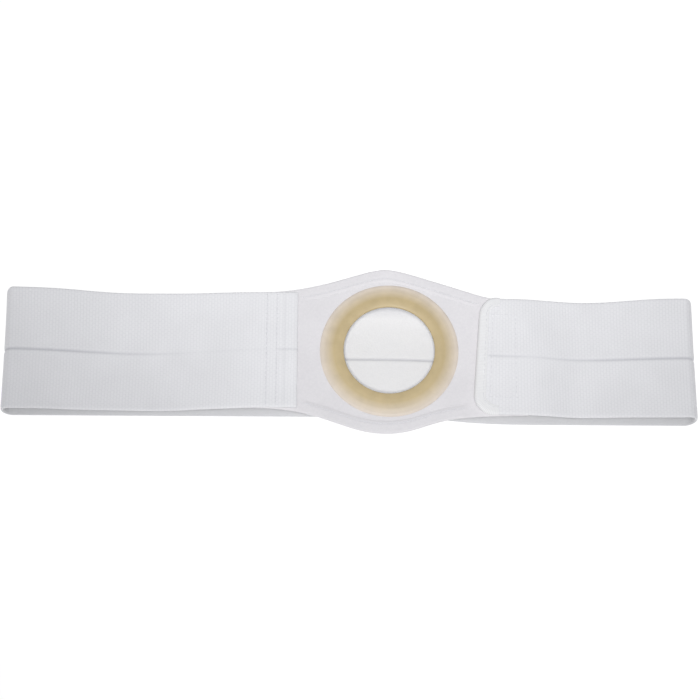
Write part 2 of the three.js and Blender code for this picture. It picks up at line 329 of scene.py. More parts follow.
class Loop:
    """The middle of the elastic's wall, from the flap's end round both folds to the sewn end."""

    FINE_STEP = 0.25 * MM

    def __init__(self, sizes):
        self.half_width = sizes.band_width / 2
        self.thickness = sizes.band_thickness
        right, left = FRONT_RIGHT[-1], FRONT_LEFT[0]
        parts = [
            self.front(FRONT_RIGHT),
            self.fold(right, 90, -90),
            self.ground(right["x"] * MM, left["x"] * MM),
            self.fold(left, 270, 90),
            self.front(FRONT_LEFT),
        ]
        rows = np.concatenate([parts[0]] + [part[1:] for part in parts[1:]])
        along = np.gradient(rows[:, :2], axis=0)
        along /= np.linalg.norm(along, axis=1)[:, None]
        self.length = walk(rows[:, :2])
        self.total = self.length[-1]
        self.right_end = self.length[len(parts[0]) - 1]
        self.left_start = self.length[-len(parts[-1])]
        self.columns = np.column_stack([rows[:, :2], -along[:, 1], along[:, 0], rows[:, 2:]]).T

    def front(self, rows):
        """x, z and edge lifts along one of the loop's two fronts."""
        start, end = rows[0]["x"] * MM, rows[-1]["x"] * MM
        x = np.linspace(start, end, round((end - start) / self.FINE_STEP))
        values = crest_values(rows, x)
        values[:, 0] -= self.thickness / 2
        return np.column_stack([x, values])

    def fold(self, crest, from_deg, to_deg):
        """The same round a fold, on a half ellipse between the crest and the ground."""
        a = FOLD_REACH - self.thickness / 2
        b = (crest["z"] * MM - self.thickness) / 2
        angle = np.radians(np.linspace(from_deg, to_deg, round(math.pi * a / self.FINE_STEP)))
        rise = ((1 + np.sin(angle)) / 2) ** 2
        return np.column_stack([
            crest["x"] * MM + a * np.cos(angle),
            crest["z"] * MM / 2 + b * np.sin(angle),
            crest["upper_lift"] * MM * rise,
            crest["lower_lift"] * MM * rise,
        ])

    def ground(self, start, end):
        """The same along the ground."""
        x = np.linspace(start, end, round(abs(end - start) / self.FINE_STEP))
        flat = np.zeros_like(x)
        return np.column_stack([x, flat + self.thickness / 2, flat, flat])

    def right_at(self, x):
        """Length along the wall at an x of the right front."""
        part = self.length <= self.right_end
        return np.interp(x, self.columns[0][part], self.length[part])

    def left_at(self, x):
        """Length along the wall at an x of the left front."""
        part = self.length >= self.left_start
        return np.interp(x, self.columns[0][part], self.length[part])

    def place(self, along, across, out):
        """Points at lengths along the wall, distances across it and distances out from its middle."""
        x, z, nx, nz, upper, lower = (np.interp(along, self.length, c) for c in self.columns)
        share = across / self.half_width
        lift = (upper - lower) / 2 * share + (upper + lower) / 2 * share ** 2
        return laid(x + nx * out, across, z + nz * out + lift)


def panel_edge(x, swell):
    """Distance from the panel's middle line to its upper or lower edge."""
    away = abs(x - SWELL_X) / swell["reach"]
    return PANEL_TAIL_WIDTH / 2 + swell["rise"] * np.exp(-away ** swell["power"])


def from_panel_edge(x, y):
    """Distance from a point of the panel to its nearer swelling edge."""
    return np.where(y > 0, panel_edge(x, UPPER_SWELL) - y, panel_edge(x, LOWER_SWELL) + y)


def panel_place(sizes, x, y, out):
    """Points of the panel, out from its middle. Left of the lap it follows the elastic down."""
    values = crest_values(FRONT_LEFT, np.minimum(x, LAP).ravel())[:, 0].reshape(np.shape(x))
    ahead = crest_values(FRONT_LEFT, np.minimum(x, LAP).ravel() + GAP)[:, 0].reshape(np.shape(x))
    slope = np.where(x < LAP, (ahead - values) / GAP, 0)
    nx, nz = -slope / np.hypot(1, slope), 1 / np.hypot(1, slope)
    drop = out - sizes.band_thickness / 2 - GAP - sizes.panel_thickness / 2
    return laid(x + nx * drop, y, values - sizes.band_thickness / 2 + nz * drop)


def skin_faces(count, around, closed):
    """Quads of a skin through rings of points, closed on itself or capped across both ends."""
    ring = np.arange(count if closed else count - 1)[:, None]
    spot = np.arange(around)[None]
    after, beside = (ring + 1) % count, (spot + 1) % around
    corners = [ring * around + spot, after * around + spot, after * around + beside, ring * around + beside]
    sides = joined(*corners).reshape(-1, 4)
    if closed:
        return sides
    low = np.arange(around // 2 - 1)
    cap = np.stack([low, low + 1, around - 2 - low, around - 1 - low], axis=-1)
    return np.concatenate([sides, cap, cap[:, ::-1] + (count - 1) * around])


def new_piece(name, points, faces, materials, cloth=None, shade=None, finishes=None):
    """A mesh that rides on the belt, with its cloth coordinates in millimetres and its seam shade."""
    mesh = bpy.data.meshes.new(name)
    mesh.from_pydata(points.reshape(-1, 3).tolist(), [], faces.tolist())
    for material in materials:
        mesh.materials.append(material)
    if finishes is not None:
        mesh.polygons.foreach_set("material_index", finishes)
    if shade is not None:
        attribute = mesh.attributes.new(SEAM_SHADE, "FLOAT", "POINT")
        attribute.data.foreach_set("value", np.ascontiguousarray(shade, np.float32).ravel())
    if cloth is not None:
        corners = np.empty(len(mesh.loops), np.int32)
        mesh.loops.foreach_get("vertex_index", corners)
        layer = mesh.uv_layers.new(name=CLOTH_MAP)
        layer.uv.foreach_set("vector", (cloth.reshape(-1, 2)[corners] / MM).astype(np.float32).ravel())
    work = bmesh.new()
    work.from_mesh(mesh)
    bmesh.ops.recalc_face_normals(work, faces=work.faces)
    work.to_mesh(mesh)
    work.free()
    mesh.shade_smooth()
    mesh.set_sharp_from_angle(angle=math.radians(50))
    piece = bpy.data.objects.new(name, mesh)
    bpy.context.scene.collection.objects.link(piece)
    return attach(piece, "root")


def node(tree, kind, inputs=None, **settings):
    """Adds a node, with its settings and its inputs set or linked.

    A node given as an input is linked from its first output.
    """
    made = tree.nodes.new("ShaderNode" + kind)
    for name, value in settings.items():
        setattr(made, name, value)
    for key, value in (inputs or {}).items():
        if isinstance(value, bpy.types.Node):
            value = value.outputs[0]
        if isinstance(value, bpy.types.NodeSocket):
            tree.links.new(value, made.inputs[key])
        else:
            made.inputs[key].default_value = value
    return made


def new_material(name):
    """An empty material and the node tree in it."""
    material = bpy.data.materials.new(name)
    material.use_nodes = True
    material.node_tree.nodes.clear()
    return material, material.node_tree


def finished(material, sockets):
    """The material, with its surface's sockets set or linked."""
    tree = material.node_tree
    surface = node(tree, "BsdfPrincipled", sockets)
    node(tree, "OutputMaterial", {"Surface": surface})
    return material


def woven_elastic(sizes, colours):
    """Woven elastic, polyester weft over covered rubber cords.

    Low ribs cross the band, broken into short floats, matt with a little lustre on each float.
    """
    material, tree = new_material("woven_elastic")
    cloth = node(tree, "UVMap", uv_map=CLOTH_MAP)
    parts = node(tree, "SeparateXYZ", {0: cloth})
    turned = node(tree, "CombineXYZ", {"X": parts.outputs["Y"], "Y": parts.outputs["X"]})
    # floats of the weft, in centimetres, because the pattern's mortar is at most 0.125 of a unit wide
    floats = node(tree, "TexBrick", {
        "Vector": turned,
        "Scale": 0.1,
        "Mortar Size": 0.03,
        "Mortar Smooth": 0.8,
        "Brick Width": sizes.float_length / MM / 10,
        "Row Height": sizes.rib_pitch / MM / 10,
    })
    # fibres, 3 to a millimetre
    fibres = node(tree, "TexNoise", {"Vector": cloth, "Scale": 3.0, "Detail": 2.0})
    # slow changes of tension along the band, about 25 mm apart
    tension = node(tree, "TexNoise", {"Vector": cloth, "Scale": 1 / 25, "Detail": 2.0})
    # painted shade in the low gaps between the floats
    gaps = node(tree, "Math", {0: floats.outputs["Fac"], 1: 0.15}, operation="MULTIPLY")
    woven = node(tree, "Mix", {
        "Factor": gaps, 6: colours.elastic, 7: colours.elastic_gap
    }, data_type="RGBA")
    slack = node(tree, "MapRange", {
        "Value": tension.outputs["Fac"], "From Min": 0.35, "From Max": 0.65, "To Min": 0.97, "To Max": 1.0
    })
    mottled = node(tree, "Mix", {
        "Factor": 1.0, 6: woven.outputs[2], 7: slack
    }, data_type="RGBA", blend_type="MULTIPLY")
    # painted shade of the groove and the seam rows, from the seam_shade attribute
    seam = node(tree, "Attribute", attribute_name=SEAM_SHADE)
    shaded = node(tree, "Mix", {
        "Factor": seam.outputs["Fac"], 6: mottled.outputs[2], 7: colours.seam
    }, data_type="RGBA")
    crowns = node(tree, "Math", {0: 1.0, 1: floats.outputs["Fac"]}, operation="SUBTRACT")
    height = node(tree, "Math", {0: fibres.outputs["Fac"], 1: 0.3, 2: crowns}, operation="MULTIPLY_ADD")
    bump = node(tree, "Bump", {"Strength": 0.35, "Distance": 0.15 * MM, "Height": height})
    rough = node(tree, "MapRange", {"Value": floats.outputs["Fac"], "To Min": 0.72, "To Max": 0.95})
    return finished(material, {
        "Base Color": shaded.outputs[2],
        "Roughness": rough,
        "Normal": bump,
        "Specular IOR Level": 0.3,
        "Sheen Weight": 0.15,
        "Sheen Roughness": 0.5,
    })


def plush_back(colours):
    """Plush back of woven elastic, brushed nylon loops that lie on the skin.

    A short even nap, whiter and softer than the woven face.
    """
    material, tree = new_material("plush_elastic_back")
    cloth = node(tree, "UVMap", uv_map=CLOTH_MAP)
    # tufts, 11 to a centimetre
    tufts = node(tree, "TexVoronoi", {"Vector": cloth, "Scale": 1.1}, feature="SMOOTH_F1")
    # painted shade in the hollows between the tufts, added to the painted shade of the groove and the inner
    # selvedges
    seam = node(tree, "Attribute", attribute_name=SEAM_SHADE)
    nap_hollow_shade = node(tree, "Math", {0: tufts.outputs["Distance"], 1: 0.08}, operation="MULTIPLY")
    deep = node(tree, "Math", {0: seam.outputs["Fac"], 1: nap_hollow_shade}, operation="ADD", use_clamp=True)
    nap = node(tree, "Mix", {"Factor": deep, 6: colours.plush, 7: colours.seam}, data_type="RGBA")
    bump = node(tree, "Bump", {
        "Strength": 0.4, "Distance": 0.15 * MM, "Height": tufts.outputs["Distance"]
    }, invert=True)
    return finished(material, {
        "Base Color": nap.outputs[2],
        "Roughness": 0.95,
        "Normal": bump,
        "Specular IOR Level": 0.2,
        "Sheen Weight": 0.25,
        "Sheen Roughness": 0.4,
    })


def loop_cloth(colours):
    """Brushed nylon loop cloth over a knitted ground, which the hooks catch in.

    A dense low pile, dull and even, with a faint sheen where the loops lean.
    """
    material, tree = new_material("brushed_loop_cloth")
    cloth = node(tree, "UVMap", uv_map=CLOTH_MAP)
    # loops 1.25 mm apart, drawn coarser than the real 0.5 mm so that they show, and fibres 0.4 mm apart
    loops = node(tree, "TexVoronoi", {
        "Vector": cloth, "Scale": 1 / 1.25, "Randomness": 0.9
    }, feature="SMOOTH_F1")
    fibres = node(tree, "TexNoise", {"Vector": cloth, "Scale": 1 / 0.4, "Detail": 3.0})
    # patches where the pile leans another way, about 20 mm apart
    lean = node(tree, "TexNoise", {"Vector": cloth, "Scale": 1 / 20, "Detail": 3.0})
    leaning = node(tree, "MapRange", {
        "Value": lean.outputs["Fac"], "From Min": 0.35, "From Max": 0.65, "To Min": 0.965, "To Max": 1.0
    })
    pile = node(tree, "Mix", {
        "Factor": 1.0, 6: colours.panel, 7: leaning
    }, data_type="RGBA", blend_type="MULTIPLY")
    # painted shade at the low roots of the loops, added to the painted shade along the hem's stitch row
    seam = node(tree, "Attribute", attribute_name=SEAM_SHADE)
    roots = node(tree, "Math", {0: loops.outputs["Distance"], 1: 0.12}, operation="MULTIPLY")
    deep = node(tree, "Math", {0: seam.outputs["Fac"], 1: roots}, operation="ADD", use_clamp=True)
    shaded = node(tree, "Mix", {"Factor": deep, 6: pile.outputs[2], 7: colours.seam}, data_type="RGBA")
    height = node(tree, "Math", {
        0: fibres.outputs["Fac"], 1: -0.4, 2: loops.outputs["Distance"]
    }, operation="MULTIPLY_ADD")
    bump = node(tree, "Bump", {"Strength": 0.5, "Distance": 0.2 * MM, "Height": height}, invert=True)
    return finished(material, {
        "Base Color": shaded.outputs[2],
        "Roughness": 0.93,
        "Normal": bump,
        "Specular IOR Level": 0.25,
        "Sheen Weight": 0.25,
        "Sheen Roughness": 0.45,
    })


def ribbed_tape(colours):
    """Grosgrain tape, tightly woven polyester.

    Fine ribs across the tape, smoother and brighter than the elastic that it binds.
    """
    material, tree = new_material("grosgrain_tape")
    cloth = node(tree, "UVMap", uv_map=CLOTH_MAP)
    # ribs 1 mm apart, drawn coarser than the real 0.6 mm so that they show
    ribs = node(tree, "TexWave", {"Vector": cloth, "Scale": WAVE_PERIOD / 1.0, "Distortion": 0.3})
    fibres = node(tree, "TexNoise", {"Vector": cloth, "Scale": 3.0, "Detail": 2.0})
    height = node(tree, "Math", {
        0: fibres.outputs["Fac"], 1: 0.3, 2: ribs.outputs["Fac"]
    }, operation="MULTIPLY_ADD")
    # painted shade in the valleys between the ribs
    valleys = node(tree, "MapRange", {"Value": ribs.outputs["Fac"], "To Min": 0.16, "To Max": 0.0})
    woven = node(tree, "Mix", {
        "Factor": valleys, 6: colours.tape, 7: colours.seam
    }, data_type="RGBA")
    bump = node(tree, "Bump", {"Strength": 0.5, "Distance": 0.12 * MM, "Height": height})
    return finished(material, {
        "Base Color": woven.outputs[2],
        "Roughness": 0.7,
        "Normal": bump,
        "Specular IOR Level": 0.35,
        "Sheen Weight": 0.1,
    })


def twisted_thread(colours):
    """Polyester sewing thread, twisted from three plies.

    Slanted plies and a soft gloss along each stitch.
    """
    material, tree = new_material("polyester_thread")
    cloth = node(tree, "UVMap", uv_map=CLOTH_MAP)
    # plies 0.5 mm apart along the thread, slanted
    plies = node(tree, "TexWave", {
        "Vector": cloth, "Scale": WAVE_PERIOD / 0.5
    }, bands_direction="DIAGONAL")
    # painted shade in the valleys between the plies
    valleys = node(tree, "MapRange", {"Value": plies.outputs["Fac"], "To Min": 0.3, "To Max": 0.0})
    spun = node(tree, "Mix", {"Factor": valleys, 6: colours.thread, 7: colours.seam}, data_type="RGBA")
    bump = node(tree, "Bump", {"Strength": 0.4, "Distance": 0.08 * MM, "Height": plies.outputs["Fac"]})
    return finished(material, {
        "Base Color": spun.outputs[2],
        "Roughness": 0.5,
        "Normal": bump,
        "Sheen Weight": 0.1,
    })


def hook_nylon(colours):
    """Nylon hook tape, extruded and cut.

    A hard, slightly translucent white with a satin gloss on the hooks.
    """
    material, tree = new_material("nylon_hook_tape")
    cloth = node(tree, "UVMap", uv_map=CLOTH_MAP)
    # backing threads 0.8 mm apart
    backing = node(tree, "TexWave", {"Vector": cloth, "Scale": WAVE_PERIOD / 0.8, "Distortion": 0.4})
    # painted shade in the gaps between the backing threads
    gaps = node(tree, "MapRange", {"Value": backing.outputs["Fac"], "To Min": 0.2, "To Max": 0.0})
    woven = node(tree, "Mix", {"Factor": gaps, 6: colours.hooks, 7: colours.seam}, data_type="RGBA")
    bump = node(tree, "Bump", {"Strength": 0.4, "Distance": 0.1 * MM, "Height": backing.outputs["Fac"]})
    return finished(material, {
        "Base Color": woven.outputs[2],
        "Roughness": 0.42,
        "Normal": bump,
        "IOR": 1.53,
    })


def amber_rubber(sizes, colours):
    """Moulded latex rubber, amber, with a dull powdered skin.

    Deep amber in the thick bead, and paler towards the thin rim, where the white cloth shines through.
    """
    material, tree = new_material("moulded_amber_rubber")
    place = node(tree, "TexCoord").outputs["Object"]
    centred = node(tree, "VectorMath", {0: place, 1: RING_CENTRE}, operation="SUBTRACT")
    level = node(tree, "VectorMath", {0: centred, 1: (1, 1, 0)}, operation="MULTIPLY")
    radius = node(tree, "VectorMath", {0: level}, operation="LENGTH")
    thin = node(tree, "MapRange", {
        "Value": radius.outputs["Value"],
        "From Min": sizes.opening_radius + 0.75 * sizes.bead_width,
        "From Max": (RING_HIGH.x - RING_LOW.x) / 2,
    })
    # powder bloom in patches about 6 mm across, and a fine grain of 0.7 mm
    bloom = node(tree, "TexNoise", {"Vector": place, "Scale": 1 / (6 * MM), "Detail": 4.0})
    grain = node(tree, "TexNoise", {"Vector": place, "Scale": 1 / (0.7 * MM), "Detail": 2.0})
    cast = node(tree, "Mix", {"Factor": thin, 6: colours.bead, 7: colours.flange}, data_type="RGBA")
    shade = node(tree, "MapRange", {
        "Value": bloom.outputs["Fac"], "From Min": 0.3, "From Max": 0.7, "To Min": 0.93, "To Max": 1.03
    })
    powdered = node(tree, "Mix", {
        "Factor": 1.0, 6: cast.outputs[2], 7: shade
    }, data_type="RGBA", blend_type="MULTIPLY")
    rough = node(tree, "MapRange", {
        "Value": bloom.outputs["Fac"], "From Min": 0.3, "From Max": 0.7, "To Min": 0.42, "To Max": 0.58
    })
    bump = node(tree, "Bump", {"Strength": 0.25, "Distance": 0.06 * MM, "Height": grain.outputs["Fac"]})
    return finished(material, {
        "Base Color": powdered.outputs[2],
        "Roughness": rough,
        "Normal": bump,
        "IOR": 1.52,
        "Specular IOR Level": 0.4,
    })


def pale_floor(glow):
    """Frosted light table, so that the floor shows plain white behind the belt."""
    material = new_material("pale_floor")[0]
    return finished(material, {
        "Base Color": linear("#707070"),
        "Roughness": 0.9,
        "Specular IOR Level": 0.1,
        "Emission Color": linear("#ffffff"),
        "Emission Strength": glow,
    })


def across_lines(sizes):
    """Places of the elastic's lengthwise lines, close together at the groove and the selvedges."""
    half = sizes.band_width / 2
    groove = np.array([0, 0.16, 0.32, 0.5, 0.8]) * sizes.groove_width
    body = np.linspace(5.5 * MM, half - 4 * MM, 5)
    selvedge = half - np.array([2.0, 1.0, 0.4, 0]) * MM
    one_half = np.concatenate([groove, body, selvedge])
    return np.concatenate([-one_half[:0:-1], one_half])


def groove_share(loop, along):
    """How much of the groove's depth is left along the wall."""
    lengths = [loop.right_at(row["x"] * MM) for row in GROOVE_RIGHT]
    lengths += [loop.left_at(row["x"] * MM) for row in GROOVE_LEFT]
    shares = [row["share"] for row in GROOVE_RIGHT + GROOVE_LEFT]
    return np.interp(along, lengths, shares)


def elastic_skin(sizes):
    """Points, cloth coordinates and seam shade of the elastic, in rings round its wall."""
    loop = Loop(sizes)
    ribs = round(loop.total / sizes.rib_pitch)
    along = np.linspace(0, loop.total, RINGS_PER_RIB * ribs + 1)[:, None]
    edge = loop.half_width - sizes.flap_corner * (1 - rounded(along, sizes.flap_corner))
    across = across_lines(sizes)[None] * edge / loop.half_width
    inside = edge - abs(across)
    ends = np.minimum(along, loop.total - along)
    round_end = eased(ends, -0.5 * MM, 2.5 * MM)
    half = sizes.band_thickness / 2
    half = half * (SELVEDGE_SHARE + (1 - SELVEDGE_SHARE) * rounded(inside, SELVEDGE_ROUND))
    half = half * (END_SHARE + (1 - END_SHARE) * round_end)
    groove = dip(across, 0, 0.5 * sizes.groove_width) * groove_share(loop, along)
    plain = eased(abs(across), 0.8 * MM, 2 * MM) * eased(inside, 0.4 * MM, 2 * MM)
    rib = -np.cos(2 * np.pi * ribs * along / loop.total) * sizes.rib_height / 2 * plain
    seam = sum(dip(along, loop.left_at(x), SEAM_WIDTH) for x in SEAM_ROWS) * eased(inside, 1 * MM, 3 * MM)
    turned_from = loop.total - TURNED_END
    turned = TURNED_RISE * eased(along, turned_from - 1 * MM, turned_from + 0.4 * MM) * round_end
    free_left = between(
        along,
        rise=(loop.left_start, loop.left_start + 20 * MM),
        fall=(loop.left_at(-95 * MM), loop.left_at(-75 * MM)),
    )
    free_right = between(
        along,
        rise=(loop.right_at(118 * MM), loop.right_at(130 * MM)),
        fall=(loop.right_end - 10 * MM, loop.right_end + 15 * MM),
    )
    wave = 2 * np.pi * along / RIPPLE_LENGTH + RIPPLE_TWIST * across / loop.half_width
    ripple = RIPPLE_HEIGHT * np.sin(wave) * (free_left + free_right) * (across / loop.half_width) ** 2
    outer = ripple + half - sizes.groove_depth * groove + rib + turned - SEAM_DENT * seam
    inner = ripple - half + sizes.groove_depth * groove
    points = np.concatenate([
        loop.place(along, across, outer),
        loop.place(along, across, inner)[:, ::-1],
    ], axis=1)
    rows = np.broadcast_to(along * ribs / loop.total * sizes.rib_pitch, across.shape)
    cloth = np.stack([rows, across], axis=-1)
    # painted shade in the groove and in the dents of the seam rows
    shade = np.clip(GROOVE_SHADE * groove + SEAM_ROW_SHADE * seam, 0, 1)
    # painted shade on the inner face near both selvedges, which darkens the strip seen under the front
    # layer's near edge to an even grey
    inner_shade = GROOVE_SHADE * groove + SELVEDGE_SHADE * (1 - eased(inside, 6 * MM, 9 * MM))
    return (
        points,
        np.concatenate([cloth, cloth[:, ::-1]], axis=1),
        np.concatenate([shade, inner_shade[:, ::-1]], axis=1),
    )


class BELT_OT_elastic_band(bpy.types.Operator):
    """Builds the woven elastic from its flap round both folds to its sewn end"""

    bl_idname = "belt.elastic_band"
    bl_label = "Elastic band"

    def execute(self, context):
        sizes, colours = context.scene.belt_sizes, context.scene.belt_colours
        points, cloth, shade = elastic_skin(sizes)
        count, around = points.shape[:2]
        faces = skin_faces(count, around, closed=False)
        finishes = np.zeros(len(faces), np.int32)
        sides = finishes[:(count - 1) * around].reshape(count - 1, around)
        sides[:, around // 2:around - 1] = 1
        materials = [woven_elastic(sizes, colours), plush_back(colours)]
        piece = new_piece("elastic_band_woven", points, faces, materials, cloth, shade, finishes)
        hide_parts("elastic_band")
        Loop(sizes).total
        return {"FINISHED"}


def panel_outline(step):
    """Points round the panel's edge, from its left end along the lower edge and back along the upper."""
    x = np.linspace(PANEL_LEFT, PANEL_RIGHT, round((PANEL_RIGHT - PANEL_LEFT) / step))
    lower = np.column_stack([x, -panel_edge(x, LOWER_SWELL)])
    upper = np.column_stack([x, panel_edge(x, UPPER_SWELL)])[::-1]
    ends = np.linspace(0, 1, round(PANEL_TAIL_WIDTH / step))[1:-1, None]
    right = lower[-1] + (upper[0] - lower[-1]) * ends
    left = upper[-1] + (lower[0] - upper[-1]) * ends
    return np.concatenate([lower, right, upper, left])


def hem_share(x):
    """How much of the hem shows: it fades before the elastic covers it at both ends."""
    return eased(np.minimum(x - SEWN_END, FLAP_END - x), HEM_CLEAR, HEM_CLEAR + HEM_FADE)


def hem_row(sizes):
    """Distance of the hem's stitches from the panel's edge."""
    return sizes.hem_width - HEM_STITCH_INSET


class BELT_OT_front_panel(bpy.types.Operator):
    """Builds the brushed panel with its turned hem and its round hole"""

    bl_idname = "belt.front_panel"
    bl_label = "Front panel"

    def execute(self, context):
        sizes, colours = context.scene.belt_sizes, context.scene.belt_colours
        outline = panel_outline(1.2 * MM)[:, None]
        centre = np.array([RING_CENTRE.x, RING_CENTRE.y])
        spokes = outline - centre
        hole = sizes.opening_radius + RING_OVERHANG
        rim = centre + spokes * hole / np.linalg.norm(spokes, axis=-1, keepdims=True)
        # lines from the hole to the edge, closer together at the hem
        share = (1 - (1 - np.linspace(0, 1, 44)) ** 1.5)[None, :, None]
        flat = rim + (outline - rim) * share
        x, y = flat[..., 0], flat[..., 1]
        inside = np.clip(from_panel_edge(x, y), 0, None)
        hem = hem_share(x) * (1 - eased(inside, sizes.hem_width, sizes.hem_width + 1 * MM))
        seam = hem_share(x) * dip(inside, hem_row(sizes), 1.3 * MM)
        half = sizes.panel_thickness / 2
        round_edge = PANEL_EDGE_SHARE + (1 - PANEL_EDGE_SHARE) * rounded(inside, PANEL_EDGE_ROUND)
        pucker = np.cos(2 * np.pi * x / sizes.stitch_pitch) * HEM_PUCKER * hem
        top = (half + (sizes.hem_rise + pucker) * hem) * round_edge - HEM_DENT * seam
        points = np.concatenate([
            panel_place(sizes, x, y, top),
            panel_place(sizes, x, y, -half * round_edge)[:, ::-1],
        ], axis=1)
        cloth = np.concatenate([flat, flat[:, ::-1]], axis=1)
        # painted shade along the dent of the hem's stitch row
        shade = np.concatenate([HEM_ROW_SHADE * seam, np.zeros_like(seam)], axis=1)
        faces = skin_faces(*points.shape[:2], closed=True)
        piece = new_piece("front_panel_cloth", points, faces, [loop_cloth(colours)], cloth, shade)
        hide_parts("front_panel")
        return {"FINISHED"}


def ring_section(sizes):
    """The ring's section: flat below, a flange that thins to its rim, and a round bead at the opening."""
    opening, bead, top = sizes.opening_radius, sizes.bead_width, sizes.bead_height
    flange = (RING_HIGH.x - RING_LOW.x) / 2
    inner_height, rim_height, rim_taper, rim_edge = 1.4 * MM, 0.9 * MM, 2.5 * MM, 0.1 * MM
    fillet_reach, foot = 2 * MM, 0.2 * MM
    start, middle = opening + bead + fillet_reach, opening + bead / 2
    ease = 0.1 * (start - middle)
    half_way = ((start + middle) / 2, (inner_height + top) / 2)
    turn = np.linspace(0, 1, 9)[:, None]

    def curve(a, control, b):
        a, control, b = np.array(a), np.array(control), np.array(b)
        return a * (1 - turn) ** 2 + 2 * control * turn * (1 - turn) + b * turn ** 2

    rim = curve((flange, rim_edge), (flange - rim_taper / 3, rim_height), (flange - rim_taper, rim_height))
    slope = np.linspace((flange - rim_taper, rim_height), (start, inner_height), 8)
    fillet = curve((start, inner_height), (start - ease, inner_height), half_way)
    shoulder = curve(half_way, (middle + ease, top), (middle, top))
    angle = np.radians(np.linspace(90, 180, 12))[:, None]
    bead_round = np.hstack([middle + bead / 2 * np.cos(angle), top / 2 + top / 2 * np.sin(angle)])
    below = np.linspace((opening, foot), (opening + foot, 0), 3)
    under = np.linspace((opening + foot, 0), (flange - rim_edge, 0), 8)
    return np.concatenate([rim, slope[1:], fillet[1:], shoulder[1:], bead_round[1:], below, under[1:]])


class BELT_OT_support_ring(bpy.types.Operator):
    """Builds the moulded rubber ring round the opening"""

    bl_idname = "belt.support_ring"
    bl_label = "Support ring"

    def execute(self, context):
        sizes, colours = context.scene.belt_sizes, context.scene.belt_colours
        section = ring_section(sizes)
        angle = np.radians(np.arange(0, 360, 1.5))[:, None]
        points = joined(
            RING_CENTRE.x + section[:, 0] * np.cos(angle),
            RING_CENTRE.y + section[:, 0] * np.sin(angle),
            RING_LOW.z + section[:, 1],
        )
        faces = skin_faces(*points.shape[:2], closed=True)
        piece = new_piece("support_ring_rubber", points, faces, [amber_rubber(sizes, colours)])
        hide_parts("support_ring")
        return {"FINISHED"}


def flap_route(sizes, inward, step):
    """Points and outward directions round the flap's end, at a distance inward from its edge."""
    side, corner = sizes.band_width / 2, sizes.flap_corner
    bend = FLAP_END + corner
    turn = np.radians(np.linspace(0, 90, round(corner * math.pi / 2 / step)))
    straight = np.linspace(TAPE_BACK, bend, round((TAPE_BACK - bend) / step) + 1)[:-1]
    end = np.linspace(corner - side, 0, round((side - corner) / step))[1:]
    # the lower half: straight side, corner and half of the end
    lower = np.column_stack([
        np.concatenate([straight, bend - corner * np.sin(turn), np.full_like(end, FLAP_END)]),
        np.concatenate([np.full_like(straight, -side), corner - side - corner * np.cos(turn), end]),
        np.concatenate([np.zeros_like(straight), -np.sin(turn), -np.ones_like(end)]),
        np.concatenate([-np.ones_like(straight), -np.cos(turn), np.zeros_like(end)]),
    ])
    upper = lower[-2::-1] * [1, -1, 1, -1]
    points, out = np.hsplit(np.concatenate([lower, upper]), 2)
    return points - out * inward, out


def flap_middle(sizes):
    """Height of the middle of the flap's wall."""
    return HOOK_HIGH.z + GAP + sizes.band_thickness / 2


def tape_walk(route):
    """Lengths along a route round the flap, and the share of its thickness that the tape has there."""
    walked = walk(route)
    full = eased(np.minimum(walked, walked[-1] - walked), 0, TAPE_END_TAPER)
    return walked, TAPE_END_SHARE + (1 - TAPE_END_SHARE) * full


class BELT_OT_flap_binding(bpy.types.Operator):
    """Builds the tape folded over the flap's rounded end"""

    bl_idname = "belt.flap_binding"
    bl_label = "Flap binding"

    def execute(self, context):
        sizes, colours = context.scene.belt_sizes, context.scene.belt_colours
        room = sizes.band_thickness / 2 + GAP
        cover, tape = sizes.tape_cover, sizes.tape_thickness
        turn = np.radians(np.linspace(90, 270, 15))
        leaf = np.linspace(cover, TAPE_LEAF, 8)[:-1]

        def fold(reach, height, end_round):
            arc = np.column_stack([TAPE_FOLD + (TAPE_FOLD + reach) * np.cos(turn), height * np.sin(turn)])
            heights = height - end_round * (1 - eased(cover - leaf, 0, 1 * MM))
            upper = np.column_stack([leaf, heights])
            return np.concatenate([upper, arc, (upper * [1, -1])[::-1]])

        outer = fold(GAP + tape, room + tape, 0.25 * MM)
        inner = fold(GAP, room, 0)
        route, out = flap_route(sizes, 0, 0.8 * MM)
        walked, full = tape_walk(route)
        outside = inner + (outer - inner) * full[:, None, None]
        section = np.concatenate([outside, np.repeat(inner[None, ::-1], len(route), 0)], axis=1)
        plan = route[:, None] - out[:, None] * section[..., :1]
        points = laid(plan[..., 0], plan[..., 1], flap_middle(sizes) + section[..., 1])
        across = walk(outer)
        across = np.concatenate([across, across[::-1]])
        cloth = joined(walked[:, None], across[None])
        faces = skin_faces(*points.shape[:2], closed=False)
        piece = new_piece("flap_binding_tape", points, faces, [ribbed_tape(colours)], cloth)
        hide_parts("flap_binding")
        return {"FINISHED"}


def rounded_plan(low, high, corner, facets):
    """Points round a rectangle with round corners, anticlockwise."""
    rows = []
    for quarter, (x, y) in enumerate((
        (high.x - corner, high.y - corner),
        (low.x + corner, high.y - corner),
        (low.x + corner, low.y + corner),
        (high.x - corner, low.y + corner),
    )):
        angle = np.radians(np.linspace(0, 90, facets) + 90 * quarter)
        rows.append(np.column_stack([x + corner * np.cos(angle), y + corner * np.sin(angle)]))
    return np.concatenate(rows)


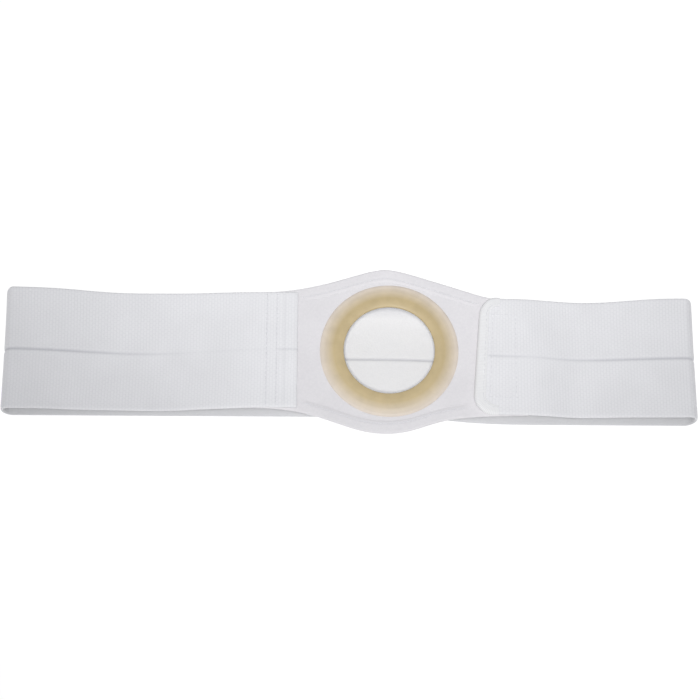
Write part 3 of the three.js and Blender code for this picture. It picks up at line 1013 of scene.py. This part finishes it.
class BELT_OT_hook_patch(bpy.types.Operator):
    """Builds the patch of hooks under the flap"""

    bl_idname = "belt.hook_patch"
    bl_label = "Hook patch"

    def execute(self, context):
        colours = context.scene.belt_colours
        plan = rounded_plan(HOOK_LOW, HOOK_HIGH, HOOK_CORNER, 8)
        half = len(plan) // 2
        # strips across the patch, from its right end to its left
        sides = np.roll(plan, -len(plan) // 8, axis=0)
        chords = np.stack([sides[:half], sides[half:][::-1]], axis=1)
        backing = HOOK_LOW.z + HOOK_LENGTH
        levels = np.array([backing, HOOK_HIGH.z])
        rings = np.concatenate([chords, chords[:, ::-1]], axis=1)
        heights = np.broadcast_to(np.repeat(levels, 2), rings.shape[:2])
        base = np.concatenate([rings, heights[..., None]], axis=-1)
        faces = [skin_faces(*base.shape[:2], closed=False)]
        points = [base.reshape(-1, 3)]
        spots = np.stack(np.meshgrid(
            np.arange(HOOK_LOW.x + HOOK_PITCH, HOOK_HIGH.x - HOOK_PITCH, HOOK_PITCH),
            np.arange(HOOK_LOW.y + HOOK_PITCH, HOOK_HIGH.y - HOOK_PITCH, HOOK_PITCH),
        ), axis=-1).reshape(-1, 2)
        bend = np.linspace(0, math.pi * 1.25, 6)[:, None]
        reach = (HOOK_LENGTH - HOOK_WIRE) / 2
        line = np.hstack([reach * (1 - np.cos(bend)), -reach * np.sin(bend) * 1.9])
        around = np.radians(np.arange(45, 360, 90))
        hook_faces = skin_faces(len(line), len(around), closed=False)
        for i, (x, y) in enumerate(spots):
            lean = 1 if i % 2 else -1
            ring_x = x + lean * line[:, :1] + HOOK_WIRE * np.cos(around)
            hook = joined(ring_x, y + HOOK_WIRE * np.sin(around), backing + line[:, 1:])
            faces.append(hook_faces + len(points[0]) + i * len(line) * len(around))
            points.append(hook.reshape(-1, 3))
        points = np.concatenate(points)
        piece = new_piece(
            "hook_patch_nylon", points, np.concatenate(faces), [hook_nylon(colours)], points[:, :2]
        )
        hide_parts("hook_patch")
        return {"FINISHED"}


def sew(name, sizes, material, rows):
    """One piece of thread for rows of stitches.

    Each row holds the stitches' points, the points a step on and the points a step up.
    """
    here, ahead, above = (np.concatenate(group) for group in zip(*rows))
    along = ahead - here
    along /= np.linalg.norm(along, axis=1)[:, None]
    up = above - here
    up -= along * (up * along).sum(axis=1)[:, None]
    up /= np.linalg.norm(up, axis=1)[:, None]
    side = np.cross(up, along)
    reach = np.array([-1, -0.8, -0.4, 0.4, 0.8, 1]) * 0.4 * sizes.stitch_pitch
    rise = np.array([-0.7, 0.05, 0.4, 0.4, 0.05, -0.7]) * sizes.thread_width
    slant = 0.06 * reach
    middle = (
        here[:, None]
        + along[:, None] * reach[:, None]
        + up[:, None] * rise[:, None]
        + side[:, None] * slant[:, None]
    )
    angle = np.radians(np.arange(0, 360, 60))
    radius = sizes.thread_width / 2
    round_it = np.cos(angle)[:, None] * side[:, None, None] + np.sin(angle)[:, None] * up[:, None, None]
    points = middle[:, :, None] + radius * round_it
    faces = skin_faces(len(reach), len(angle), closed=False)
    shift = np.arange(len(here))[:, None, None] * len(reach) * len(angle)
    cloth = joined(reach[:, None], radius * angle[None])
    cloth = np.broadcast_to(cloth, (len(here), *cloth.shape))
    piece = new_piece(name, points, (faces[None] + shift).reshape(-1, 4), [material], cloth)
    return piece


def spaced(start, end, pitch):
    """Even places from start to end, about a pitch apart."""
    return np.linspace(start, end, max(2, round(abs(end - start) / pitch) + 1))


def elastic_row(sizes, loop, along, across, lengthwise):
    """A row of stitches in the elastic, along the band or across it."""
    out = sizes.band_thickness / 2 - STITCH_SINK
    on, beside = (STITCH_STEP, 0) if lengthwise else (0, STITCH_STEP)
    return (
        loop.place(along, across, out),
        loop.place(along + on, across + beside, out),
        loop.place(along, across, out + STITCH_STEP),
    )


def lap_rows(sizes, loop):
    """The rows that sew the elastic to the panel."""
    side = sizes.band_width / 2 - LAP_INSET
    across = spaced(-side, side, sizes.stitch_pitch)
    return [elastic_row(sizes, loop, loop.left_at(x), across, False) for x in SEAM_ROWS]


def hook_rows(sizes, loop):
    """The box of stitches that holds the hook patch under the flap."""
    side = (HOOK_HIGH.y - HOOK_LOW.y) / 2 - HOOK_SEAM
    ends = (loop.right_at(HOOK_LOW.x + HOOK_SEAM), loop.right_at(HOOK_HIGH.x - HOOK_SEAM))
    along = spaced(*ends, sizes.stitch_pitch)
    across = spaced(-side, side, sizes.stitch_pitch)[1:-1]
    rows = [elastic_row(sizes, loop, along, y, True) for y in (-side, side)]
    return rows + [elastic_row(sizes, loop, end, across, False) for end in ends]


def hem_rows(sizes):
    """The rows along the panel's lower and upper hems."""
    rows = []
    for sign, swell in ((-1, LOWER_SWELL), (1, UPPER_SWELL)):
        fine = np.linspace(SEWN_END + 3 * MM, FLAP_END - 3 * MM, 800)
        walked = walk(np.column_stack([fine, panel_edge(fine, swell) - hem_row(sizes)]))
        x = np.interp(spaced(0, walked[-1], sizes.stitch_pitch), walked, fine)
        top = sizes.panel_thickness / 2 + (sizes.hem_rise - HEM_DENT) * hem_share(x)
        spots = []
        for ahead, up in ((0, 0), (STITCH_STEP, 0), (0, STITCH_STEP)):
            y = sign * (panel_edge(x + ahead, swell) - hem_row(sizes))
            spots.append(panel_place(sizes, x + ahead, y, top + up))
        rows.append(spots)
    return rows


def tape_rows(sizes):
    """The row round the flap's tape."""
    route, out = flap_route(sizes, sizes.tape_cover - TAPE_STITCH_INSET, sizes.stitch_pitch)
    x, y = route.T
    full = tape_walk(route)[1]
    level = flap_middle(sizes) + sizes.band_thickness / 2 + GAP + sizes.tape_thickness * full
    ahead = laid(x - out[:, 1] * STITCH_STEP, y + out[:, 0] * STITCH_STEP, level)
    return [(laid(x, y, level), ahead, laid(x, y, level + STITCH_STEP))]


class BELT_OT_stitches(bpy.types.Operator):
    """Sews the lap, the hooks, the hem and the tape"""

    bl_idname = "belt.stitches"
    bl_label = "Stitches"

    def execute(self, context):
        sizes = context.scene.belt_sizes
        thread = twisted_thread(context.scene.belt_colours)
        loop = Loop(sizes)
        sew("lap_stitches", sizes, thread, lap_rows(sizes, loop))
        sew("hook_stitches", sizes, thread, hook_rows(sizes, loop))
        sew("hem_stitches", sizes, thread, hem_rows(sizes))
        sew("tape_stitches", sizes, thread, tape_rows(sizes))
        return {"FINISHED"}


class BELT_OT_stage(bpy.types.Operator):
    """Lays the pale floor, hangs the soft light and places the camera"""

    bl_idname = "belt.stage"
    bl_label = "Stage"

    def execute(self, context):
        scene, stage = context.scene, context.scene.belt_stage
        scene.view_settings.view_transform = "Standard"

        floor = bpy.data.meshes.new("pale_floor")
        corners = [(x * FLOOR_REACH, y * FLOOR_REACH, 0) for x, y in ((-1, -1), (1, -1), (1, 1), (-1, 1))]
        floor.from_pydata(corners, [], [(0, 1, 2, 3)])
        floor.materials.append(pale_floor(stage.floor_glow))
        ground = bpy.data.objects.new("pale_floor", floor)
        ground.location.z = -FLOOR_DROP
        scene.collection.objects.link(ground)

        world = bpy.data.worlds.new("studio_sky")
        world.use_nodes = True
        sky = world.node_tree.nodes["Background"]
        sky.inputs["Color"].default_value = linear("#f9faff")
        sky.inputs["Strength"].default_value = stage.sky
        scene.world = world

        softbox = bpy.data.lights.new("softbox", "AREA")
        softbox.shape = "RECTANGLE"
        softbox.size, softbox.size_y = SOFTBOX_SIZE
        softbox.spread = SOFTBOX_SPREAD
        softbox.energy = stage.key_power
        lamp = bpy.data.objects.new("softbox", softbox)
        lamp.location = SOFTBOX_PLACE
        aim = Vector(SOFTBOX_AIM) - lamp.location
        lamp.rotation_euler = aim.to_track_quat("-Z", "Y").to_euler()
        lamp.visible_camera = False
        scene.collection.objects.link(lamp)

        lens = bpy.data.cameras.new("camera")
        lens.lens = stage.lens
        camera = bpy.data.objects.new("camera", lens)
        back = Vector((
            math.cos(stage.elevation) * math.sin(stage.azimuth),
            -math.cos(stage.elevation) * math.cos(stage.azimuth),
            math.sin(stage.elevation),
        ))
        camera.location = Vector(stage.target) + back * stage.distance
        look = (-back).to_track_quat("-Z", "Y")
        camera.rotation_euler = (look @ Quaternion((0, 0, 1), stage.roll)).to_euler()
        scene.collection.objects.link(camera)
        scene.camera = camera
        return {"FINISHED"}


class VIEW3D_PT_belt(bpy.types.Panel):
    """Lists the belt's settings and its pieces"""

    bl_label = "Support belt"
    bl_space_type = "VIEW_3D"
    bl_region_type = "UI"
    bl_category = "Belt"

    def draw(self, context):
        for settings in (context.scene.belt_sizes, context.scene.belt_colours, context.scene.belt_stage):
            column = self.layout.column(align=True)
            for name in settings.__annotations__:
                column.prop(settings, name)
        for operator in OPERATORS:
            self.layout.operator(operator.bl_idname)


GROUPS = {"belt_sizes": BeltSizes, "belt_colours": BeltColours, "belt_stage": StageSettings}
OPERATORS = (
    BELT_OT_stage,
    BELT_OT_stitches,
    BELT_OT_elastic_band,
    BELT_OT_front_panel,
    BELT_OT_support_ring,
    BELT_OT_flap_binding,
    BELT_OT_hook_patch,
)


def register():
    for name, group in GROUPS.items():
        bpy.utils.register_class(group)
        setattr(bpy.types.Scene, name, PointerProperty(type=group))
    for operator in OPERATORS:
        bpy.utils.register_class(operator)
    bpy.utils.register_class(VIEW3D_PT_belt)


def unregister():
    bpy.utils.unregister_class(VIEW3D_PT_belt)
    for operator in reversed(OPERATORS):
        bpy.utils.unregister_class(operator)
    for name, group in GROUPS.items():
        delattr(bpy.types.Scene, name)
        bpy.utils.unregister_class(group)


def main():
    register()
    bpy.ops.belt.stage()
    bpy.ops.belt.stitches()
    bpy.ops.belt.elastic_band()
    bpy.ops.belt.front_panel()
    bpy.ops.belt.support_ring()
    bpy.ops.belt.flap_binding()
    bpy.ops.belt.hook_patch()


if __name__ == "__main__":
    main()
